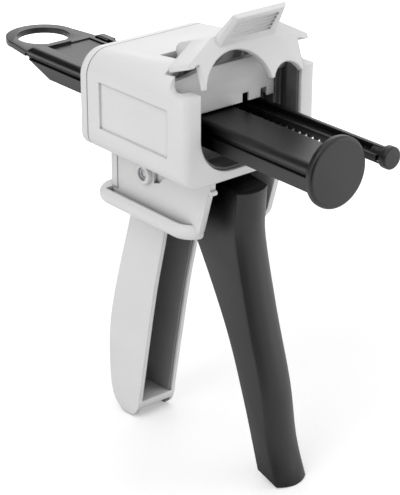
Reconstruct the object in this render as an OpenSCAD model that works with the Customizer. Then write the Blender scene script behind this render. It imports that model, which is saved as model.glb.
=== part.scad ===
// Hand dispenser for a two-part cartridge, in millimetres.
// X points the way the plunger pushes, Y points to the left, Z points up.
// Origin: on the seat face, on the mid plane, at the height of the piston axes.

/* [Head] */
// Width of the head over its side walls
body_w = 61.8; // [60:0.2:66]
// Front face of the head, ahead of the seat face
front_x = 11.3; // [11:0.1:13]
// Seam of the rear cover, behind the seat face
seam_x = 44.2; // [44:0.2:50]
// Height of the roof at the seam
roof_rear = 19.5; // [18.5:0.1:21]
// Height of the roof at the front face
roof_front = 25.7; // [25:0.1:26.5]
// Depth of the underside of the head
floor_z = 18; // [17.6:0.1:20]
// Thickness of the moulded walls
wall = 2.5; // [2.2:0.1:3]
// Width of the slot for the cartridge flange
slot_w = 4.5; // [3.5:0.1:5.5]
// Radius of the upper corners of the head
top_r = 9.5; // [8:0.1:11]

/* [Plunger] */
// Diameter of the large piston
big_d = 25.6; // [22:0.1:26.4]
// Diameter of the small piston
small_d = 8.2; // [7:0.1:9]
// Distance between the two piston axes
axis_gap = 23.1; // [22:0.1:23.6]
// Thickness of the pistons
piston_t = 3.3; // [2.5:0.1:4]
// Front of the large piston at rest, ahead of the seat face
reach = 63.6; // [62:0.1:70]
// Lead of the small piston over the large one
lead = 2.1; // [0:0.1:4]
// Pitch of the rack teeth
pitch = 3.3; // [3:0.05:3.4]
// Centre of the finger ring, behind the seat face
ring_x = 116; // [112:0.5:125]

/* [Neck and handle] */
// Width of the neck
neck_w = 35; // [34:0.2:38]
// Width of the handle
handle_w = 18.4; // [17.6:0.2:22]
// Foot of the handle, below the piston axes
foot_z = 141.3; // [138:0.1:150]
// Thickness of the handle walls
handle_wall = 1.6; // [1.4:0.1:2.4]
// Reach of the skirt out from the neck
skirt_out = 5.2; // [3:0.1:6]

/* [Trigger] */
// Width of the trigger
trigger_w = 14.6; // [13:0.2:16]
// Trigger pivot, behind the seat face
pivot_x = 27.5; // [27:0.1:28]
// Trigger pivot, below the piston axes
pivot_z = 26; // [25.6:0.1:26.6]
// Diameter of the pivot pin
pivot_d = 5; // [4:0.1:5.4]
// Teeth moved by one full squeeze
teeth_per_squeeze = 3; // [2:1:3]

/* [Latch] */
// Front of the shut latch, ahead of the front face
latch_out = 1.5; // [0.5:0.1:2.5]
// Opening angle of the latch at rest
latch_open = 20; // [15:1:25]
// Latch hinge, behind the seat face
latch_x = 15; // [14.6:0.1:15.4]
// Latch hinge, above the piston axes
latch_z = 14.1; // [13.6:0.1:14.4]
// Width of the thumb tab at its root
tab_w = 29.4; // [24:0.2:32]

/* [Rear cover] */
// Thickness of the rear cover
cover_t = 4; // [3.5:0.1:5]
// Thread diameter of the cover screws
screw_d = 3; // [2.5:0.1:3.2]

/* [Hidden] */
$fn = 48;
half_w = body_w / 2;
roof_slope = atan((roof_front - roof_rear) / (front_x + seam_x));
bottom_r = 6;
seat_t = 2.4;
seat_half = half_w - 10.3;
open_half = half_w - 7.4;
slot_half = half_w - 3.6;
leg_half = half_w - 8.3;
latch_half = half_w - 3.4;
liner_t = 0.9;
latch_front = front_x + latch_out;
front_r = 3;
seam_gap = 0.45;
seam_deep = 0.8;

// piston axes, set so that the two barrels lie evenly about the mid plane
big_y = -7.65;
small_y = big_y + axis_gap;

// plunger section
rod_top = 3.6;
rod_low = -6.2;
plate_low = 1.0;
side_y = 16.7;
rail_in = 11.4;
rail_out = 13.7;
root_z = -1.2;
tooth_h = 2.2;
tip_z = root_z - tooth_h;
tooth_w = 1.3;
rod_front = reach - piston_t + 1;
ring_top = 1.5;
ring_low = -0.8;

// pawl and its swing with the trigger
stroke = teeth_per_squeeze * pitch;
touch_z = -2.2;
lift = pivot_z + touch_z;
squeeze = 2 * atan(stroke / 2 / lift);
touch_x = -pivot_x - stroke / 2;
tip_gap = 0.8;
pawl_len = 9;
pawl_rise = 20;
pawl_drop = 12;
pin_x = touch_x - pawl_len * cos(pawl_rise);
pin_z = touch_z - pawl_len * sin(pawl_rise);
pawl_pin_d = 2.5;

neck_in = neck_w / 2 - wall;
skirt_top = -37.4;
skirt_low = -43.8;
skirt_w = neck_w + 2 * skirt_out;
arm_in = 9.2;
arm_out = 13.2;
ear_out = neck_in - 6.2;
ear_in = ear_out - 3;
screw_y = half_w - 5.7;
screw_top = roof_rear - 5.7;
screw_low = 6 - floor_z;

// Extrudes a YZ outline along X
module along_x(x0, x1) {
  translate([x0, 0, 0]) rotate([90, 0, 90]) linear_extrude(height = x1 - x0) children();
}

// Extrudes an XZ outline along Y
module along_y(y0, y1) {
  translate([0, y1, 0]) rotate([90, 0, 0]) linear_extrude(height = y1 - y0) children();
}

// Extrudes an XY outline along Z
module along_z(z0, z1) {
  translate([0, 0, z0]) linear_extrude(height = z1 - z0) children();
}

// The same piece on both sides of the mid plane
module both_sides() {
  children();
  mirror([0, 1, 0]) children();
}

module rod_y(x, z, y0, y1, d) {
  translate([x, y1, z]) rotate([90, 0, 0]) cylinder(h = y1 - y0, d = d);
}

module rod_x(y, z, x0, x1, d) {
  translate([x0, y, z]) rotate([0, 90, 0]) cylinder(h = x1 - x0, d = d);
}

module block(x0, x1, y0, y1, z0, z1) {
  translate([x0, y0, z0]) cube([x1 - x0, y1 - y0, z1 - z0]);
}

// Rectangle centred on the first axis, with its two upper corners rounded
module round_top(w, z0, z1, r) {
  translate([-w / 2, z0]) square([w, z1 - r - z0]);
  translate([r - w / 2, z0]) square([w - 2 * r, z1 - z0]);
  for (s = [-1, 1]) translate([s * (w / 2 - r), z1 - r]) circle(r);
}

// Rectangle centred on the first axis, with its two lower corners rounded
module round_low(w, z0, z1, r) {
  translate([-w / 2, z0 + r]) square([w, z1 - z0 - r]);
  translate([r - w / 2, z0]) square([w - 2 * r, z1 - z0]);
  for (s = [-1, 1]) translate([s * (w / 2 - r), z0 + r]) circle(r);
}

// Rectangle with all four corners rounded
module round_box(x0, x1, y0, y1, r) {
  translate([x0 + r, y0]) square([x1 - x0 - 2 * r, y1 - y0]);
  translate([x0, y0 + r]) square([x1 - x0, y1 - y0 - 2 * r]);
  for (x = [x0 + r, x1 - r]) for (y = [y0 + r, y1 - r]) translate([x, y]) circle(r);
}

// Smooth curve through a few points
function bend(a, b, c, d, t) = 0.5 * (2 * b + (c - a) * t + (2 * a - 5 * b + 4 * c - d) * t * t
  + (3 * b - a - 3 * c + d) * t * t * t);
function curve(p, n) = concat(
  [for (i = [0:len(p) - 2]) for (k = [0:n - 1])
    bend(p[max(i - 1, 0)], p[i], p[i + 1], p[min(i + 2, len(p) - 1)], k / n)],
  [p[len(p) - 1]]);
function backward(p) = [for (i = [len(p) - 1:-1:0]) p[i]];
function turn(p, a) = [p[0] * cos(a) + p[1] * sin(a), p[1] * cos(a) - p[0] * sin(a)];

// Wire coil about Z as one tube: straight legs leave both ends along the wire
module coil(mean_r, wire, rise, turns, leg_a, leg_b, a0) {
  steps = ceil(turns * 8);
  line = [for (a = [0:10:360 * turns]) [mean_r * cos(a), mean_r * sin(a), rise * a / 360]];
  apart = [for (i = [0:len(line) - 19]) for (j = [i + 18:len(line) - 1]) norm(line[i] - line[j])];
  echo(least_gap = min(apart) - wire);
  sides = 6;
  function ring(a, z, s) = [for (j = [0:sides - 1])
    [(mean_r + wire / 2 * cos(360 * j / sides)) * cos(a) - s * sin(a),
     (mean_r + wire / 2 * cos(360 * j / sides)) * sin(a) + s * cos(a),
     z + wire / 2 * sin(360 * j / sides)]];
  turned = [for (i = [0:steps]) ring(a0 + 360 * turns * i / steps, rise * turns * i / steps, 0)];
  first = leg_a > 0 ? [ring(a0, 0, -leg_a)] : [];
  last = leg_b > 0 ? [ring(a0 + 360 * turns, rise * turns, leg_b)] : [];
  rings = concat(first, turned, last);
  n = len(rings);
  quads = [for (i = [0:n - 2]) for (j = [0:sides - 1])
    [i * sides + j, (i + 1) * sides + j, (i + 1) * sides + (j + 1) % sides, i * sides + (j + 1) % sides]];
  cap_a = [for (j = [0:sides - 1]) j];
  cap_b = [for (j = [sides - 1:-1:0]) (n - 1) * sides + j];
  polyhedron(points = [for (r = rings) for (p = r) p], faces = concat(quads, [cap_a, cap_b]));
}

// Right half of a wide outline whose lower corner is rounded by short flats
function low_half(w, z0, r, n) = let(a = 45 / n, y = w - r, z = z0 + r) concat(
  [[w + 1, 60], [w + 1, z + ((r + 1) * cos(a) - r) / sin(a)]],
  [for (i = [1:n - 1]) [y + r / cos(a) * cos(90 * i / n), z - r / cos(a) * sin(90 * i / n)]],
  [[y + r * (1 - cos(a)) / sin(a), z0]]);
function mirrored(p) = concat(p, [for (q = backward(p)) [-q[0], q[1]]]);

// Head outline: upright sides, a roof that climbs to the front, rounded corners
module head(inset, x0, x1) {
  intersection() {
    along_x(x0, x1) polygon(mirrored(low_half(half_w - inset, inset - floor_z, bottom_r - inset, 4)));
    translate([-seam_x, 0, roof_rear]) rotate([0, -roof_slope, 0])
      along_x(-30, 90) round_top(body_w - 2 * inset, -70, -inset, top_r - inset);
  }
}

// Handle outline, rear edge from the skirt to the foot and front edge back up
handle_rear = [[-50, skirt_low + 1], [-47.4, -45.4], [-47.2, -49], [-48.9, -56], [-58.1, -86.8],
  [-62.3, -107.7], [-62.4, -127.5], [-60.2, 4.6 - foot_z], [-55, 0.5 - foot_z], [-51.5, -foot_z]];
handle_front = [[-26.5, skirt_low + 1], [-27.2, -53.3], [-34, -81.6], [-42.6, -126.4], [-43.9, 7 - foot_z],
  [-45.9, 2.6 - foot_z], [-48.6, 0.2 - foot_z]];
function shifted(p, d) = [for (q = p) [q[0] + d, q[1]]];
ledge_top = 8 - foot_z;
ledge_low = 4.3 - foot_z;

module handle_outline() {
  polygon(concat(curve(handle_rear, 5), backward(curve(handle_front, 4))));
}

// Space in the handle behind the front edge, closed at the back by a wall of thickness d
module channel_outline(d, low, high, ahead) {
  intersection() {
    polygon(concat(shifted(curve(handle_rear, 5), d), [[-20, -foot_z], [-20, skirt_low + 1]]));
    translate([-90, low]) square([90, high - low]);
    if (ahead > 0)
      polygon(concat(shifted(curve(handle_front, 4), -ahead), [[-90, -foot_z], [-90, skirt_low + 1]]));
  }
}

module seat_wall() {
  // middle plate the cartridge flange stands against, notched over the small rod and relieved behind
  difference() {
    along_x(-seat_t, 0) polygon(mirrored([[seat_half, 4.2], [seat_half, 13.2], [half_w - wall + 0.2, 13.2],
      [half_w - wall + 0.2, 18.6], [seat_half, 19.3], [13, 20.7]]));
    for (y = [5.5, 14.2]) block(-seat_t - 1, 1, y, y + 2.9, 3, 7.5);
    block(-seat_t - 1, -0.7, 5.2, small_y + 4, 3, 7.9);
  }
  // set-back ends that carry it on the side walls
  both_sides() {
    block(-8.4, -0.1, seat_half - 2.2, seat_half, 4.2, 13);
    block(-8.4, -6, seat_half - 2.2, half_w - wall + 0.2, 4.2, 13);
  }
}

module neck() {
  along_y(-neck_w / 2, neck_w / 2) {
    polygon([[-seam_x, 1 - floor_z], [9.4, 1 - floor_z], [9.4, -21.2], [8.4, -22.8], [3.6, skirt_low + 4.6],
      [2.5, skirt_low + 2.6], [-2.4, skirt_low + 1], [-seam_x, skirt_low + 1]]);
    // small nib on the front edge
    translate([9.5, -22.4]) circle(1);
  }
  both_sides() rod_y(-pivot_x, -pivot_z, neck_w / 2 - 1, neck_w / 2 + 1.8, 8);
}

// Roll round the lower end of the neck, with a gutter behind its lip
module skirt() {
  r = (skirt_top - skirt_low) / 2;
  mid = (skirt_top + skirt_low) / 2;
  bend_r = 9.6;
  rear = -seam_x - 11.4;
  front = 3.2;
  side = skirt_w / 2;
  lip = side - r - 0.8;
  difference() {
    union() {
      along_z(skirt_low + 0.3, skirt_top - 0.3)
        round_box(rear + r, front - r, r - side, side - r, bend_r - r);
      rod_y(rear + r, mid, bend_r - side, side - bend_r, 2 * r);
      both_sides() {
        rod_x(side - r, mid, rear + bend_r, front - bend_r, 2 * r);
        corner(rear + bend_r, side - bend_r, -1) translate([bend_r - r, mid]) circle(r);
        corner(front - bend_r, side - bend_r, 1) translate([bend_r - r, mid]) circle(r);
      }
    }
    // gutter, which runs out against the neck in front
    difference() {
      both_sides() {
        along_x(-seam_x - cover_t + 0.5, front - bend_r) translate([lip, 0]) gutter_outline();
        corner(front - bend_r, side - bend_r, 1) translate([lip - side + bend_r, 0]) gutter_outline();
      }
      block(-seam_x - cover_t, 20, -neck_w / 2, neck_w / 2, -60, 0);
    }
  }
}

module gutter_outline() {
  translate([0, skirt_top - 0.6]) circle(1.9);
  translate([-1.9, skirt_top - 0.6]) square([3.8, 4]);
}

// Quarter turn of an outline about an upright line at x, y, to the front or to the back
module corner(x, y, way) {
  intersection() {
    translate([x, y, 0]) rotate_extrude() children();
    block(way > 0 ? x : x - 30, way > 0 ? x + 30 : x, y, y + 30, -70, 0);
  }
}

module housing() {
  color([0.86, 0.87, 0.88]) {
    difference() {
      union() {
        intersection() {
          head(0, -seam_x, front_x);
          // round upright edges beside the front face
          along_z(-40, 60) round_box(-seam_x - 20, front_x, -half_w - 0.06, half_w + 0.06, front_r);
        }
        neck();
        skirt();
        along_y(-handle_w / 2, handle_w / 2) handle_outline();
      }
      // hollow head behind the seat wall, and the same space forward to the flange slot
      head(wall, -seam_x - 1, -0.1);
      // slot for the cartridge flange and the front opening for the barrels
      along_x(-0.2, slot_w + liner_t + 0.1) round_low(2 * slot_half, 0.3 + wall - floor_z, 60, 12);
      along_x(slot_w, front_x + 1) round_low(2 * open_half, 3.2 - floor_z, 60, 14.5);
      // room for the latch
      block(-2.8, front_x + 1, -latch_half - 0.4, latch_half + 0.4, 16.4, 60);
      block(-latch_x - 2.6, 1, 2.4 - seat_half, seat_half - 2.4, 12, 60);
      along_y(-60, 60) {
        translate([4.9, 16.4]) square([14, 40]);
        translate([2.7, 18.6]) square([4, 40]);
        translate([4.9, 18.6]) circle(2.2);
      }
      // label field on both sides
      both_sides() block(-37.2, 1.6, half_w - 0.8, half_w + 1, -8, 9.7);
      // neck, open to the head, to the front and at its back
      block(-seam_x - 1, -14, -neck_in, neck_in, skirt_low + 2, wall - floor_z + 0.1);
      block(-14.1, 20, -neck_in, neck_in, skirt_low + 2, -floor_z);
      block(-pivot_x - 0.5, 20, -neck_in, neck_in, skirt_low - 1, skirt_low + 3);
      rod_y(-pivot_x, -pivot_z, -40, 40, pivot_d + 0.04);
      // dark pocket beside the pivot boss
      both_sides() along_y(neck_w / 2 - 1.6, neck_w / 2 + 1) polygon([[-22.6, -floor_z - 1.7],
        [-15.6, -floor_z - 1.6], [-16.4, -24.4], [-19.6, -27.6], [-22.6, -28.4]]);
      // handle channel
      along_y(handle_wall - handle_w / 2, handle_w / 2 - handle_wall) {
        channel_outline(handle_wall + 0.6, ledge_top, skirt_low - 2, 0);
        channel_outline(handle_wall + 0.6, -1 - foot_z, ledge_low, 0);
      }
      for (y = [-screw_y, screw_y]) for (z = [screw_top, screw_low])
        rod_x(y, z, -seam_x - 1, -seam_x + 12, screw_d);
    }
    seat_wall();
    // sockets for the latch hinge
    both_sides() difference() {
      rod_y(-latch_x, latch_z, seat_half - 1.6, half_w - wall + 0.3, 9);
      rod_y(-latch_x, latch_z, arm_out, seat_half + 4.4, 5.04);
    }
    // pillars for the cover screws
    for (y = [-screw_y, screw_y]) for (z = [screw_top, screw_low]) difference() {
      rod_x(y, z, -seam_x, -seam_x + 13, screw_d + 4.2);
      rod_x(y, z, -seam_x - 1, -seam_x + 12, screw_d);
    }
    // peg for the fixed leg of the return spring
    rod_y(-pivot_x - 0.8, -pivot_z - 8.2, neck_in - 2, neck_in + 0.3, 2.4);
  }
}

module rear_cover() {
  color([0.86, 0.87, 0.88]) difference() {
    union() {
      head(0, -seam_x - cover_t, -seam_x - seam_gap);
      block(-seam_x - cover_t, -seam_x - seam_gap, -neck_w / 2, neck_w / 2, skirt_top, 1 - floor_z);
      // narrower front edge, which leaves a seam line round the joint
      head(seam_deep, -seam_x - 2, -seam_x);
      block(-seam_x - 2, -seam_x, seam_deep - neck_w / 2, neck_w / 2 - seam_deep, skirt_top, 1 - floor_z);
      // lip that locates the cover in the neck
      block(-seam_x - 0.1, -seam_x + 1.6, 0.15 - neck_in, neck_in - 0.15, skirt_top - 1, -floor_z - 2);
    }
    // lip is hollow, so that the lever swings clear
    block(-seam_x, -seam_x + 3, 1.8 - neck_in, neck_in - 1.8, skirt_top, -10);
    // opening for the plunger
    along_x(-seam_x - cover_t - 1, -seam_x + 1)
      round_box(-side_y - 0.4, small_y + 3.45, rod_low - 0.5, rod_top + 0.5, 1.2);
    for (y = [-screw_y, screw_y]) for (z = [screw_top, screw_low]) {
      rod_x(y, z, -seam_x - cover_t - 1, -seam_x + 1, screw_d + 0.4);
      rod_x(y, z, -seam_x - cover_t - 1, -seam_x - cover_t + 1.8, screw_d + 3);
    }
  }
}

module cover_screws() {
  color([0.62, 0.63, 0.65]) for (y = [-screw_y, screw_y]) for (z = [screw_top, screw_low]) difference() {
    union() {
      rod_x(y, z, -seam_x - cover_t + 1.8, -seam_x + 9, screw_d);
      rod_x(y, z, -seam_x - cover_t + 0.2, -seam_x - cover_t + 1.8, screw_d + 2.6);
    }
    // cross recess
    for (a = [0, 90]) translate([-seam_x - cover_t, y, z]) rotate([a, 0, 0])
      translate([0, -1.6, -0.35]) cube([1.2, 3.2, 0.7]);
  }
}

// Outline of the front opening, smaller by gap
module opening_outline(gap, top) {
  round_low(2 * (open_half - gap), 3.2 + gap - floor_z, top, 14.5 - gap);
}

// Outline of the flange slot, smaller by gap
module slot_outline(gap, top) {
  round_low(2 * (slot_half - gap), 0.3 + wall + gap - floor_z, top, 12 - gap);
}

module guide_frame() {
  inner = half_w - wall - 0.1;
  color([0.07, 0.07, 0.08]) {
    difference() {
      union() {
        // bar under the plunger
        along_x(-9, -0.6) intersection() {
          round_low(2 * inner, wall - floor_z + 0.1, 20, bottom_r - wall);
          translate([-40, -40]) square([80, 40 + rod_low - 0.5]);
        }
        // fluted columns beside the seat wall
        both_sides() {
          block(-5.9, -0.6, seat_half + 0.2, inner, rod_low - 0.6, 13);
          for (k = [0:2]) translate([-0.9, seat_half + (inner - seat_half) * (k + 0.5) / 3, rod_low - 0.6])
            cylinder(h = 13.6 - rod_low, r = 0.75);
        }
      }
      // clear of the plunger rods
      along_x(-10, 1) round_box(-side_y - 0.4, small_y + 3.45, rod_low - 0.4, 10, 1);
    }
    lining(12.6);
    // taller beside the small barrel
    intersection() {
      lining(16.2);
      block(0.3, 20, 0, 40, 0, 40);
    }
  }
}

// Lining of the flange slot and of the front opening, up to top
module lining(top) {
  along_x(-0.9, slot_w + 0.5) difference() {
    slot_outline(0.1, top);
    slot_outline(0.1 + liner_t, 20);
  }
  along_x(slot_w, slot_w + liner_t) difference() {
    slot_outline(0.1, top);
    opening_outline(0.1 + liner_t, 20);
  }
  along_x(slot_w + 0.3, front_x - 1.3) difference() {
    opening_outline(0.1, top);
    opening_outline(0.1 + liner_t, 20);
  }
}

module handle_liner() {
  color([0.07, 0.07, 0.08]) difference() {
    along_y(handle_wall + 0.05 - handle_w / 2, handle_w / 2 - handle_wall - 0.05)
      channel_outline(handle_wall + 0.65, ledge_top + 0.05, skirt_low - 2, 0.9);
    along_y(handle_wall + 1.1 - handle_w / 2, handle_w / 2 - handle_wall - 1.1)
      channel_outline(handle_wall + 1.8, ledge_top - 1, skirt_low, 0);
  }
}

// Trigger outline in side view
trigger_front = [[12.2, -24.4], [11.7, -33], [11.8, -44.9], [18.7, -72.3], [26.9, -99], [31, -120.5],
  [36.6, -135.2]];
trigger_rear = [[25.8, -132.4], [16.9, -105], [6.4, -78.8], [-10.3, -49.3], [-19.5, -38], [-24.2, -32.6]];

// Rounded nose along the front of the trigger, lofted over its front curve
module trigger_nose() {
  w = trigger_w / 2;
  sides = 8;
  path = curve(trigger_front, 4);
  function across(j) = w * (2 * j / sides - 1);
  function section(p) = concat(
    [for (j = [0:sides]) let(f = 2.6 * (1 - pow(across(j) / w, 2))) [p[0] + f, across(j), p[1] - 0.12 * f]],
    [[p[0] - 2, w - 0.3, p[1]], [p[0] - 2, 0.3 - w, p[1]]]);
  m = sides + 3;
  n = len(path);
  walls = [for (i = [0:n - 2]) for (j = [0:m - 1]) let(a = i * m + j, b = i * m + (j + 1) % m)
    each [[a, b, a + m], [b, b + m, a + m]]];
  top = [for (j = [m - 1:-1:0]) j];
  toe = [for (j = [0:m - 1]) (n - 1) * m + j];
  polyhedron(points = [for (p = path) each section(p)], faces = concat(walls, [top, toe]));
}

// Ear from the hub to the pawl pin, as a tapered strap
module ear_outline() {
  d = [pin_x + pivot_x, pin_z + pivot_z];
  l = norm(d);
  n = [d[1] / l, -d[0] / l];
  a = [-pivot_x, -pivot_z];
  b = [pin_x, pin_z];
  polygon([a + 5.6 * n, b + 2.4 * n, b - 2.4 * n, a - 5.6 * n]);
  translate(a) circle(6.5);
  translate(b) circle(2.4);
}

module trigger() {
  d = [pin_x + pivot_x, pin_z + pivot_z];
  n = [d[1], -d[0]] / norm(d);
  u = d / norm(d);
  peg = [-pivot_x, -pivot_z] + 11 * u + 3.4 * n;
  // ledge under the pawl spring
  s = [pin_x + 5.2, pin_z - 6.2];
  color([0.07, 0.07, 0.08]) difference() {
    union() {
      along_y(-trigger_w / 2, trigger_w / 2) {
        polygon(concat(shifted(curve(trigger_front, 5), -0.5), curve(trigger_rear, 5),
          [[-pivot_x, -pivot_z], [-22.4, 6.2 - pivot_z]]));
        translate([-pivot_x, -pivot_z]) circle(6.5);
      }
      trigger_nose();
      both_sides() along_y(ear_in, ear_out) ear_outline();
      // hub: wide on one side, slim inside the return spring on the other
      rod_y(-pivot_x, -pivot_z, 0.3 - neck_in, -6, 11);
      rod_y(-pivot_x, -pivot_z, 6, neck_in - 0.3, 8);
      translate([s[0], 0, s[1]]) rotate([0, 8, 0]) block(-2.4, 2.4, -ear_in - 0.2, ear_in + 0.2, -2.4, 0);
      // peg for the moving leg of the return spring
      rod_y(peg[0], peg[1], ear_out - 0.5, ear_out + 1.6, 2.4);
    }
    rod_y(-pivot_x, -pivot_z, -40, 40, pivot_d + 0.08);
    rod_y(pin_x, pin_z, -20, 20, pawl_pin_d);
    // hollow back of the lever
    along_y(2.2 - trigger_w / 2, trigger_w / 2 - 2.2) intersection() {
      polygon(concat(shifted(curve(trigger_front, 5), -3), [[-60, -135.2], [-60, -22.6]]));
      translate([-60, -127]) square([120, 83]);
    }
  }
}

module pivot_pin() {
  color([0.62, 0.63, 0.65]) difference() {
    rod_y(-pivot_x, -pivot_z, -neck_w / 2 - 1, neck_w / 2 + 1, pivot_d);
    both_sides() rod_y(-pivot_x, -pivot_z, neck_w / 2 + 0.4, neck_w / 2 + 1.2, pivot_d - 2);
  }
}

module return_spring() {
  wire = 1;
  rise = 1.5;
  turns = 3 + 62.9 / 360;
  color([0.55, 0.56, 0.58]) translate([-pivot_x, ear_out + 0.75, -pivot_z]) rotate([-90, 0, 0])
    coil(5.2, wire, rise, turns, 12, 9, -32.9);
}

// Pawl drawn with its tips in the rack, then dropped clear of it
module pawl() {
  mid = squeeze / 2;
  front = [for (h = [0, -3]) turn([0, h], -mid)];
  back = [turn([-0.3, 0], -mid), turn([-2.4, -2.5], -mid)];
  tip = [pawl_len * cos(pawl_rise), pawl_len * sin(pawl_rise)];
  color([0.55, 0.56, 0.58]) translate([pin_x, 0, pin_z]) rotate([0, pawl_drop, 0]) difference() {
    union() {
      along_y(0.4 - ear_in, ear_in - 0.4) {
        circle(2.3);
        polygon([[0, -2.1], [5.2, -0.7], [8.4, -0.7], [8.4, 1.4], [5.2, 1.4], [0, 2.1]]);
      }
      // crossbar and the two tips
      along_y(0.6 - rail_out, rail_out - 0.6)
        polygon([[5.8, -1.2], [8.4, -1.2], [8.4, 1.1], [8, 1.1], [5.8, 0.2]]);
      both_sides() along_y(rail_in + 0.3, rail_out - 0.6)
        polygon([tip + front[0], tip + front[1], tip + back[1], tip + back[0]]);
    }
    rod_y(0, 0, -20, 20, pawl_pin_d + 0.06);
  }
}

module pawl_pin() {
  color([0.62, 0.63, 0.65]) rod_y(pin_x, pin_z, -ear_out, ear_out, pawl_pin_d);
}

module pawl_spring() {
  wire = 0.6;
  rise = 1.05;
  turns = 3;
  color([0.55, 0.56, 0.58]) translate([pin_x + 5.2, 0, pin_z - 6.2]) rotate([0, 8, 0])
    translate([0, 0, wire / 2 + 0.05]) coil(1.6, wire, rise, turns, 0, 0, 0);
}

// Toothed underside of one rail
module rack_outline() {
  flank = touch_x + tip_gap;
  first = ceil((-79 - flank) / pitch);
  last = floor((reach - 25.2 - flank) / pitch);
  for (k = [first:last]) translate([flank + k * pitch, 0])
    polygon([[0, root_z + 0.3], [0, tip_z], [0.35, tip_z], [pitch - 0.25, root_z],
      [pitch - 0.25, root_z + 0.3]]);
}

module piston(y, d, x0, x1, r) {
  translate([x0, y, 0]) rotate([0, 90, 0]) rotate_extrude() {
    square([d / 2 - r, x1 - x0]);
    translate([0, r]) square([d / 2, x1 - x0 - 2 * r]);
    for (z = [r, x1 - x0 - r]) translate([d / 2 - r, z]) circle(r);
  }
}

module plunger() {
  ring_r = side_y - 2.1;
  color([0.07, 0.07, 0.08]) {
    difference() {
      union() {
        // large rod: flat top, rounded near edge, side wall and toothed rail
        intersection() {
          along_x(-103, rod_front) {
            translate([2.2 - side_y, plate_low]) square([side_y - 1.1, rod_top - plate_low]);
            translate([2.2 - side_y, rod_top - 2.2]) circle(2.2);
            translate([-side_y, rod_low]) square([side_y - rail_out, rod_top - 2.2 - rod_low]);
            translate([-rail_out - 0.1, root_z]) square([rail_out - rail_in + 0.1, plate_low - root_z + 0.1]);
          }
          along_y(-40, 40) polygon([[-103.6, ring_top - 0.5], [-100.4, rod_top + 0.1],
            [rod_front + 1, rod_top + 0.1], [rod_front + 1, rod_low - 1], [-88, rod_low - 1], [-88, rod_low],
            [-102.3, -1.3], [-103.6, -1.3]]);
        }
        // small rod: upright web with a flange, toothed below
        block(-99, -91, small_y - 1.6, small_y + 2.6, root_z, 2.8);
        along_x(-98.5, rod_front) {
          translate([small_y - 0.75, -3.4]) square([1.5, 6.4]);
          translate([rail_in, root_z]) square([small_y + 2.6 - rail_in, 0.9 - root_z]);
        }
        both_sides() along_y(rail_in, rail_in + tooth_w) rack_outline();
        // land that joins the rods behind the slot
        block(-101, -45, 0.8, 11.6, plate_low, rod_top - 0.6);
        block(-101, -45, 10.4, 11.6, root_z, rod_top - 0.6);
        // finger ring, thinner than the land, that flares into it
        along_z(ring_low, ring_top) {
          translate([-ring_x, 0]) circle(ring_r);
          polygon([[-ring_x, -ring_r], [-104, 0.2 - side_y], [-97, 0.2 - side_y], [-97, side_y - 0.2],
            [-104, side_y - 0.2], [-ring_x, ring_r]]);
        }
        // pistons
        piston(big_y, big_d, reach - piston_t, reach, 1.2);
        piston(small_y, small_d, reach + lead - piston_t, reach + lead, 0.7);
        rod_x(small_y, 0, reach - piston_t - 3, reach + lead - 1, small_d - 2.6);
      }
      // finger hole
      along_z(-10, 10) translate([-ring_x + 0.6, 0]) circle(ring_r - 4);
      // groove along the near side, closed at both ends
      block(-104.5, reach - 6.3, -side_y - 1, 0.9 - side_y, -1.3, 0.7);
      // bare field on the land
      block(-97.6, -60, -10.4, 10, rod_top - 1.1, rod_top + 1);
    }
  }
}

// Latch drawn shut, then swung open about its hinge
module latch() {
  px = latch_front - 2.4;
  top = 25.7;
  color([0.86, 0.87, 0.88]) translate([-latch_x, 0, latch_z]) rotate([0, -latch_open, 0])
  translate([latch_x, 0, -latch_z]) {
    // roof over the flange slot, sloped to both sides
    along_x(1, latch_front) polygon(mirrored([[15.2, top], [latch_half, 18.7], [latch_half, 16.9],
      [latch_half - 2, 16.9], [14.2, top - 2.4]]));
    // front plate with legs beside the barrels
    along_x(px, latch_front) difference() {
      polygon([[15, top - 1], [latch_half - 1, 17.6], [leg_half, 17.6], [leg_half, 6.6], [-18, 6.6],
        [-leg_half - 0.4, 8.8], [-leg_half - 0.4, 17.6], [1 - latch_half, 17.6], [-15, top - 1]]);
      translate([big_y, 4.6]) circle(15.2);
      translate([small_y - 0.4, 4]) circle(7);
    }
    // tongue behind the roof
    block(-8.2, 2.4, 0.2 - arm_out, arm_out - 0.2, top - 2.4, top);
    // arms down to the hinge, which round off the tongue behind
    both_sides() {
      along_y(arm_in, arm_out) {
        polygon([[1.6, top - 1], [-3.6, 22], [-7, 18], [-12.6, 11.6], [-17.4, 16.5], [-11.2, 21.6],
          [-8.2, top - 0.6]]);
        translate([-latch_x, latch_z]) circle(3.6);
        translate([-8.2, top - 3.4]) circle(3.3);
      }
      rod_y(-latch_x, latch_z, arm_out - 0.5, seat_half + 4, 5);
    }
    thumb_tab(top);
  }
}

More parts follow.
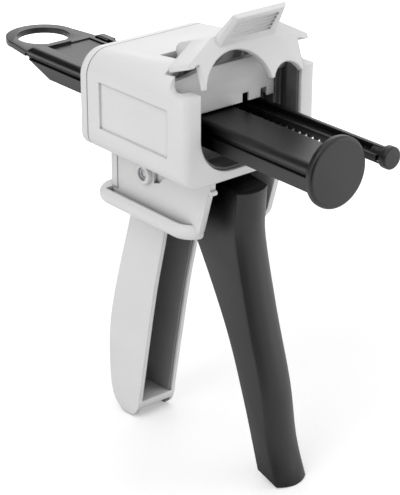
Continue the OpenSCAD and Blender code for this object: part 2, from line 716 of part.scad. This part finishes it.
module thumb_tab(top) {
  run = [10.9, 8.4];
  tilt = atan2(run[1], run[0]);
  taper = 0.25;
  difference() {
    intersection() {
      along_y(-30, 30) translate([latch_front, top - 4])
        polygon([[-0.5, 0], [0, 0], run, run + [-1.3, 1.8], [-0.5, 4]]);
      along_x(latch_front - 2, latch_front + 14) polygon([[-tab_w / 2, top - 5], [tab_w / 2, top - 5],
        [tab_w / 2 - 12 * taper, top + 7], [12 * taper - tab_w / 2, top + 7]]);
    }
    // sloped sides of the grip face
    both_sides() translate([latch_front, tab_w / 2 - 2, top - 4]) rotate([0, -tilt, 0])
      rotate([0, 0, -atan(taper * run[1] / norm(run))])
        along_x(-4, 20) polygon([[-0.5, -0.5], [5, 5], [5, -0.5]]);
    // grip grooves, deeper to one side
    for (f = [0.28:0.13:0.81]) translate([latch_front + run[0] * f, -0.7, top - 4 + run[1] * f])
      rotate(1, [run[0], 0, run[1]]) rotate([90, 0, 0])
        cylinder(h = tab_w - 10.4, r = 0.7, center = true, $fn = 16);
  }
}

housing();
rear_cover();
cover_screws();
guide_frame();
handle_liner();
trigger();
pivot_pin();
return_spring();
pawl();
pawl_pin();
pawl_spring();
plunger();
latch();
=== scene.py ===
"""Looks of the two-part cartridge dispenser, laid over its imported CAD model."""

import math

import bpy
from mathutils import Matrix, Vector

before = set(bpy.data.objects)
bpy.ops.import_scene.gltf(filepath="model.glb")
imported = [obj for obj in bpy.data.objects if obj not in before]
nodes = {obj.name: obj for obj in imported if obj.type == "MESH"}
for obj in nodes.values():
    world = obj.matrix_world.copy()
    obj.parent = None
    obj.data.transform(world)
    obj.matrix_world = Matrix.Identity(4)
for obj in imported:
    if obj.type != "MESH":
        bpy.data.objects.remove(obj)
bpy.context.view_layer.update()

# Lengths are in metres, unless a comment says millimetres
MM = 0.001

# Camera fitted to the photograph's edges, with lens and sensor in millimetres
CAMERA_PLACE = Vector((456.2, -398.3, 226.0)) * MM
CAMERA_LOOK = Vector((-0.6954, 0.5854, -0.4168)).normalized()
CAMERA_ROLL = math.radians(0.16)
CAMERA_LENS = 130.9
SENSOR_HEIGHT = 36.0
CLIP_END = 20

# The tool rests on the handle's foot and the trigger's toe, so the floor rises towards the toe
FLOOR_Z = -138.2 * MM
FLOOR_TILT = math.radians(3.66)
FLOOR_SIZE = 1.6
# The floor's glow grows from FLOOR_GLOW to white between two distances from its middle
FLOOR_GLOW = 0.34
WHITE_GLOW = 1.0
GLOW_STARTS = 0.18
GLOW_FULL = 0.6
# Even finishes: grey, roughness, mirror level
FLOOR_FINISH = (0.8, 0.7, 0.1)
CARD_FINISH = (0.02, 0.9, 0.0)

WORLD_LIGHT = 0.66
CENTRE = (-0.02, 0, -0.04)
# Soft boxes that face CENTRE: place, width, power in watts
SOFTBOXES = {
    "top_softbox": ((0.05, 0.0, 1.1), 1.4, 1.9),
    "back_softbox": ((-0.86, 0.70, 0.46), 0.6, 1.2),
    "right_softbox": ((0.15, -0.85, 0.9), 0.7, 3.8),
    "front_softbox": ((0.75, 0.85, 0.2), 0.5, 1.7),
}
# Dark cards: place, the point that each one faces, width
CARDS = {
    "dark_card_front": ((0.28, -0.22, 0.06), (0, 0, 0.06), 0.42),
    "dark_card_side": ((-0.60, -0.27, 0.25), CENTRE, 0.8),
}

# Noises: scale, detail, and the share of that scale along x, y and z
FLOW = (38, 3, (0.6, 1, 1.3))
WAVES = (120, 2, (1, 1, 1))
GRAIN = (2600, 2, (1, 1, 1))
CLOUD = (160, 2, (1, 1, 1))
DRAW_MARKS = (900, 3, (1, 0.08, 1))
NOISE_ROUGH = 0.55
# Values of a noise at which the first and the second of two colours are reached
FLOW_STOPS = (0.3, 0.7)
CLOUD_STOPS = (0.35, 0.65)
# Bumps: strength and height
WAVE_BUMP = (0.06, 0.4 * MM)
DRAW_BUMP = (0.15, 0.03 * MM)
GRAIN_HEIGHT = 0.06 * MM
PLASTIC_IOR = 1.5
CLOUDED_SHARE = 0.8

# Painted shade in hollows: reach, the open shares of the view at which the painted shade is full and none,
# and the darkest factor
GROOVE_PAINTED_SHADE = (1.8 * MM, 0.3, 0.9, 0.6)
PALE_HOLLOW_PAINTED_SHADE = (30 * MM, 0.12, 0.44, 0.35)
DARK_HOLLOW_PAINTED_SHADE = (30 * MM, 0.25, 0.85, 0.1)
PAINTED_SHADE_SAMPLES = 12
SOFT_EDGE_SAMPLES = 6

# Edge rounding of each piece, in millimetres, on edges sharper than EDGE_ANGLE
EDGE = {
    "housing": 0.7, "rear_cover": 0.6, "latch": 0.5, "trigger": 1.4, "plunger": 0.35, "guide_frame": 0.3,
    "handle_liner": 0.3, "cover_screws": 0.12, "pawl": 0.15, "pivot_pin": 0.2, "pawl_pin": 0.15,
}
EDGE_ANGLE = math.radians(38)
EDGE_STEPS = 3
# Faces that meet at less than FLAT_ANGLE are joined before the rounding
FLAT_ANGLE = math.radians(0.6)
WELD_REACH = 2e-6


def grey(tone):
    """A grey as red, green, blue and alpha."""
    return (tone, tone, tone, 1)


def new_material(name):
    """A material with a Principled shader."""
    material = bpy.data.materials.new(name)
    material.use_nodes = True
    return material


def parts_of(material):
    """A material's node tree and its Principled shader."""
    tree = material.node_tree
    return tree, tree.nodes["Principled BSDF"]


def noise(tree, scale, detail, stretch):
    """A noise texture in object space."""
    place = tree.nodes.new("ShaderNodeTexCoord")
    mapping = tree.nodes.new("ShaderNodeMapping")
    mapping.inputs["Scale"].default_value = stretch
    tree.links.new(place.outputs["Object"], mapping.inputs["Vector"])
    node = tree.nodes.new("ShaderNodeTexNoise")
    node.inputs["Scale"].default_value = scale
    node.inputs["Detail"].default_value = detail
    node.inputs["Roughness"].default_value = NOISE_ROUGH
    tree.links.new(mapping.outputs["Vector"], node.inputs["Vector"])
    return node.outputs[0]


def ramp(tree, value, stops, colours):
    """Value turned into a blend of two colours, which are reached at two stops."""
    node = tree.nodes.new("ShaderNodeValToRGB")
    for element, stop, colour in zip(node.color_ramp.elements, stops, colours):
        element.position = stop
        element.color = colour
    tree.links.new(value, node.inputs["Fac"])
    return node.outputs["Color"]


def spread(tree, value, low, high, start=0.0, end=1.0, blend="LINEAR"):
    """Value from start..end spread over low..high."""
    node = tree.nodes.new("ShaderNodeMapRange")
    node.interpolation_type = blend
    node.inputs["From Min"].default_value = start
    node.inputs["From Max"].default_value = end
    node.inputs["To Min"].default_value = low
    node.inputs["To Max"].default_value = high
    tree.links.new(value, node.inputs["Value"])
    return node.outputs["Result"]


def hollows(tree, reach, low, high, darkest, most=1.0):
    """Painted shade factor: most on open surfaces, down to darkest of it where the open share of the view
    within reach is low.
    """
    open_view = tree.nodes.new("ShaderNodeAmbientOcclusion")
    open_view.samples = PAINTED_SHADE_SAMPLES
    open_view.inputs["Distance"].default_value = reach
    return spread(tree, open_view.outputs["AO"], darkest * most, most, low, high)


def darken(tree, colour, value):
    """Colour multiplied by value."""
    node = tree.nodes.new("ShaderNodeVectorMath")
    node.operation = "MULTIPLY"
    tree.links.new(colour, node.inputs[0])
    tree.links.new(value, node.inputs[1])
    return node.outputs["Vector"]


def bump(tree, shader, layers, soft_edge=0.0):
    """Softens edges in the shading by soft_edge, then adds bump layers, each (value, strength, height)."""
    normal = None
    if soft_edge > 0:
        soft = tree.nodes.new("ShaderNodeBevel")
        soft.samples = SOFT_EDGE_SAMPLES
        soft.inputs["Radius"].default_value = soft_edge
        normal = soft.outputs["Normal"]
    for value, strength, height in layers:
        node = tree.nodes.new("ShaderNodeBump")
        node.inputs["Strength"].default_value = strength
        node.inputs["Distance"].default_value = height
        tree.links.new(value, node.inputs["Height"])
        if normal is not None:
            tree.links.new(normal, node.inputs["Normal"])
        normal = node.outputs["Normal"]
    tree.links.new(normal, shader.inputs["Normal"])


def moulded_plastic(name, tones, rough, grain, soft_edge, shine=0.5, painted_shades=()):
    """Satin moulding: faint flow marks in the colour, fine spark-eroded grain in gloss and bump. Each shade
    is painted shade that darkens the colour in hollows, where deep shade looks nearly black, and the last
    also dulls the reflections there."""
    material = new_material(name)
    tree, shader = parts_of(material)
    flow = noise(tree, *FLOW)
    fine = noise(tree, *GRAIN)
    broad = noise(tree, *WAVES)
    colour = ramp(tree, flow, FLOW_STOPS, [grey(tone) for tone in tones])
    # Painted shade: the colour is darkened in hollows and grooves
    for shade in painted_shades:
        colour = darken(tree, colour, hollows(tree, *shade))
    tree.links.new(colour, shader.inputs["Base Color"])
    tree.links.new(spread(tree, fine, *rough), shader.inputs["Roughness"])
    bump(tree, shader, [(broad, *WAVE_BUMP), (fine, grain, GRAIN_HEIGHT)], soft_edge)
    shader.inputs["IOR"].default_value = PLASTIC_IOR
    shader.inputs["Specular IOR Level"].default_value = shine
    # Painted shade: the mirror level is lowered in hollows too
    if painted_shades:
        tree.links.new(hollows(tree, *painted_shades[-1], most=shine), shader.inputs["Specular IOR Level"])
    return material


def drawn_steel(name, colour, rough):
    """Plain drawn steel with fine draw marks and faint clouds."""
    material = new_material(name)
    tree, shader = parts_of(material)
    marks = noise(tree, *DRAW_MARKS)
    cloud = noise(tree, *CLOUD)
    clouded = [part * CLOUDED_SHARE for part in colour]
    tone = ramp(tree, cloud, CLOUD_STOPS, [(*clouded, 1), (*colour, 1)])
    tree.links.new(tone, shader.inputs["Base Color"])
    tree.links.new(spread(tree, marks, *rough), shader.inputs["Roughness"])
    bump(tree, shader, [(marks, *DRAW_BUMP)])
    shader.inputs["Metallic"].default_value = 1.0
    return material


def even_finish(name, tone, rough, shine):
    """A grey without texture, for the floor and the cards."""
    material = new_material(name)
    shader = parts_of(material)[1]
    shader.inputs["Base Color"].default_value = grey(tone)
    shader.inputs["Roughness"].default_value = rough
    shader.inputs["Specular IOR Level"].default_value = shine
    return material


# The white and black mouldings carry painted shade in their hollows and grooves
WHITE = moulded_plastic(
    "white_moulding", tones=(0.78, 0.81), rough=(0.38, 0.50), grain=0.18, soft_edge=0.9 * MM,
    shine=0.4, painted_shades=[GROOVE_PAINTED_SHADE, PALE_HOLLOW_PAINTED_SHADE])
BLACK = moulded_plastic(
    "black_moulding", tones=(0.006, 0.009), rough=(0.34, 0.46), grain=0.22, soft_edge=0.5 * MM,
    painted_shades=[DARK_HOLLOW_PAINTED_SHADE])
LINER = moulded_plastic(
    "liner_moulding", tones=(0.21, 0.24), rough=(0.45, 0.58), grain=0.22, soft_edge=0.3 * MM)
GUIDE = moulded_plastic(
    "guide_moulding", tones=(0.09, 0.115), rough=(0.30, 0.42), grain=0.22, soft_edge=0.3 * MM)
STEEL = drawn_steel("drawn_steel", colour=(0.55, 0.56, 0.58), rough=(0.26, 0.44))

LOOK = {
    "housing": WHITE, "rear_cover": WHITE, "latch": WHITE,
    "guide_frame": GUIDE, "handle_liner": LINER, "trigger": BLACK, "plunger": BLACK,
    "cover_screws": STEEL, "pivot_pin": STEEL, "return_spring": STEEL,
    "pawl": STEEL, "pawl_pin": STEEL, "pawl_spring": STEEL,
}


def dress(name, piece):
    """Gives a CAD piece its material and smooth shading, and rounds its edges where EDGE lists it."""
    piece.data.materials.clear()
    piece.data.materials.append(LOOK[name])
    for polygon in piece.data.polygons:
        polygon.use_smooth = True
    weld = piece.modifiers.new("weld", "WELD")
    weld.merge_threshold = WELD_REACH
    if name not in EDGE:
        return
    flat = piece.modifiers.new("flat", "DECIMATE")
    flat.decimate_type = "DISSOLVE"
    flat.angle_limit = FLAT_ANGLE
    bevel = piece.modifiers.new("edge", "BEVEL")
    bevel.width = EDGE[name] * MM
    bevel.segments = EDGE_STEPS
    bevel.limit_method = "ANGLE"
    bevel.angle_limit = EDGE_ANGLE
    bevel.use_clamp_overlap = True
    bevel.harden_normals = True
    bevel.miter_outer = "MITER_ARC"


def seen(tree):
    """1 for rays from the camera and for mirrored or transmitted ones, else 0."""
    path = tree.nodes.new("ShaderNodeLightPath")
    value = path.outputs["Is Camera Ray"]
    for ray in ("Is Glossy Ray", "Is Transmission Ray"):
        larger = tree.nodes.new("ShaderNodeMath")
        larger.operation = "MAXIMUM"
        tree.links.new(value, larger.inputs[0])
        tree.links.new(path.outputs[ray], larger.inputs[1])
        value = larger.outputs[0]
    return value


def add_glow(material):
    """Lets the floor glow where it is seen, more so away from its middle."""
    tree, shader = parts_of(material)
    shader.inputs["Emission Color"].default_value = grey(1)
    place = tree.nodes.new("ShaderNodeTexCoord")
    away = tree.nodes.new("ShaderNodeVectorMath")
    away.operation = "LENGTH"
    tree.links.new(place.outputs["Object"], away.inputs[0])
    rise = spread(tree, away.outputs["Value"], FLOOR_GLOW, WHITE_GLOW, GLOW_STARTS, GLOW_FULL, "SMOOTHSTEP")
    glow = tree.nodes.new("ShaderNodeMath")
    glow.operation = "MULTIPLY"
    tree.links.new(seen(tree), glow.inputs[0])
    tree.links.new(rise, glow.inputs[1])
    tree.links.new(glow.outputs[0], shader.inputs["Emission Strength"])


def add_floor():
    """White floor whose glow grows away from the object, so that only the object's shadow shows on it."""
    bpy.ops.mesh.primitive_plane_add(size=FLOOR_SIZE, location=(0, 0, FLOOR_Z))
    floor = bpy.context.object
    floor.name = "floor"
    floor.rotation_euler = (0, -FLOOR_TILT, 0)
    material = even_finish("floor", *FLOOR_FINISH)
    add_glow(material)
    floor.data.materials.append(material)


def add_softbox(name, place, width, power):
    """A square soft box that faces the object."""
    data = bpy.data.lights.new(name, "AREA")
    data.shape = "SQUARE"
    data.size = width
    data.energy = power
    light = bpy.data.objects.new(name, data)
    light.location = place
    light.rotation_euler = (Vector(CENTRE) - Vector(place)).to_track_quat("-Z", "Y").to_euler()
    bpy.context.scene.collection.objects.link(light)


def add_card(name, place, target, width):
    """A dark card that only mirrored rays meet, as the unlit side of a studio in the black mouldings."""
    bpy.ops.mesh.primitive_plane_add(size=width, location=place)
    card = bpy.context.object
    card.name = name
    card.rotation_euler = (Vector(target) - Vector(place)).to_track_quat("Z", "Y").to_euler()
    card.data.materials.append(even_finish(name, *CARD_FINISH))
    card.visible_camera = False
    card.visible_diffuse = False
    card.visible_shadow = False


def add_world():
    """Even light all round, which looks white to the camera and in mirrored or transmitted rays."""
    world = bpy.data.worlds.new("studio")
    bpy.context.scene.world = world
    world.use_nodes = True
    tree = world.node_tree
    tree.nodes.clear()
    out = tree.nodes.new("ShaderNodeOutputWorld")
    mix = tree.nodes.new("ShaderNodeMixShader")
    tree.links.new(seen(tree), mix.inputs[0])
    for slot, strength in ((1, WORLD_LIGHT), (2, WHITE_GLOW)):
        background = tree.nodes.new("ShaderNodeBackground")
        background.inputs["Color"].default_value = grey(1)
        background.inputs["Strength"].default_value = strength
        tree.links.new(background.outputs[0], mix.inputs[slot])
    tree.links.new(mix.outputs[0], out.inputs["Surface"])


def add_camera():
    """The photograph's camera."""
    data = bpy.data.cameras.new("camera")
    data.sensor_fit = "VERTICAL"
    data.sensor_height = SENSOR_HEIGHT
    data.lens = CAMERA_LENS
    data.clip_end = CLIP_END
    camera = bpy.data.objects.new("camera", data)
    camera.location = CAMERA_PLACE
    turn = CAMERA_LOOK.to_track_quat("-Z", "Y").to_matrix()
    camera.rotation_euler = (turn @ Matrix.Rotation(CAMERA_ROLL, 3, "Z")).to_euler()
    bpy.context.scene.collection.objects.link(camera)
    bpy.context.scene.camera = camera


for name, piece in nodes.items():
    dress(name, piece)
add_floor()
for name, (place, width, power) in SOFTBOXES.items():
    add_softbox(name, place, width, power)
for name, (place, target, width) in CARDS.items():
    add_card(name, place, target, width)
add_world()
add_camera()

bpy.context.scene.view_settings.view_transform = "Standard"

bpy.context.view_layer.update()
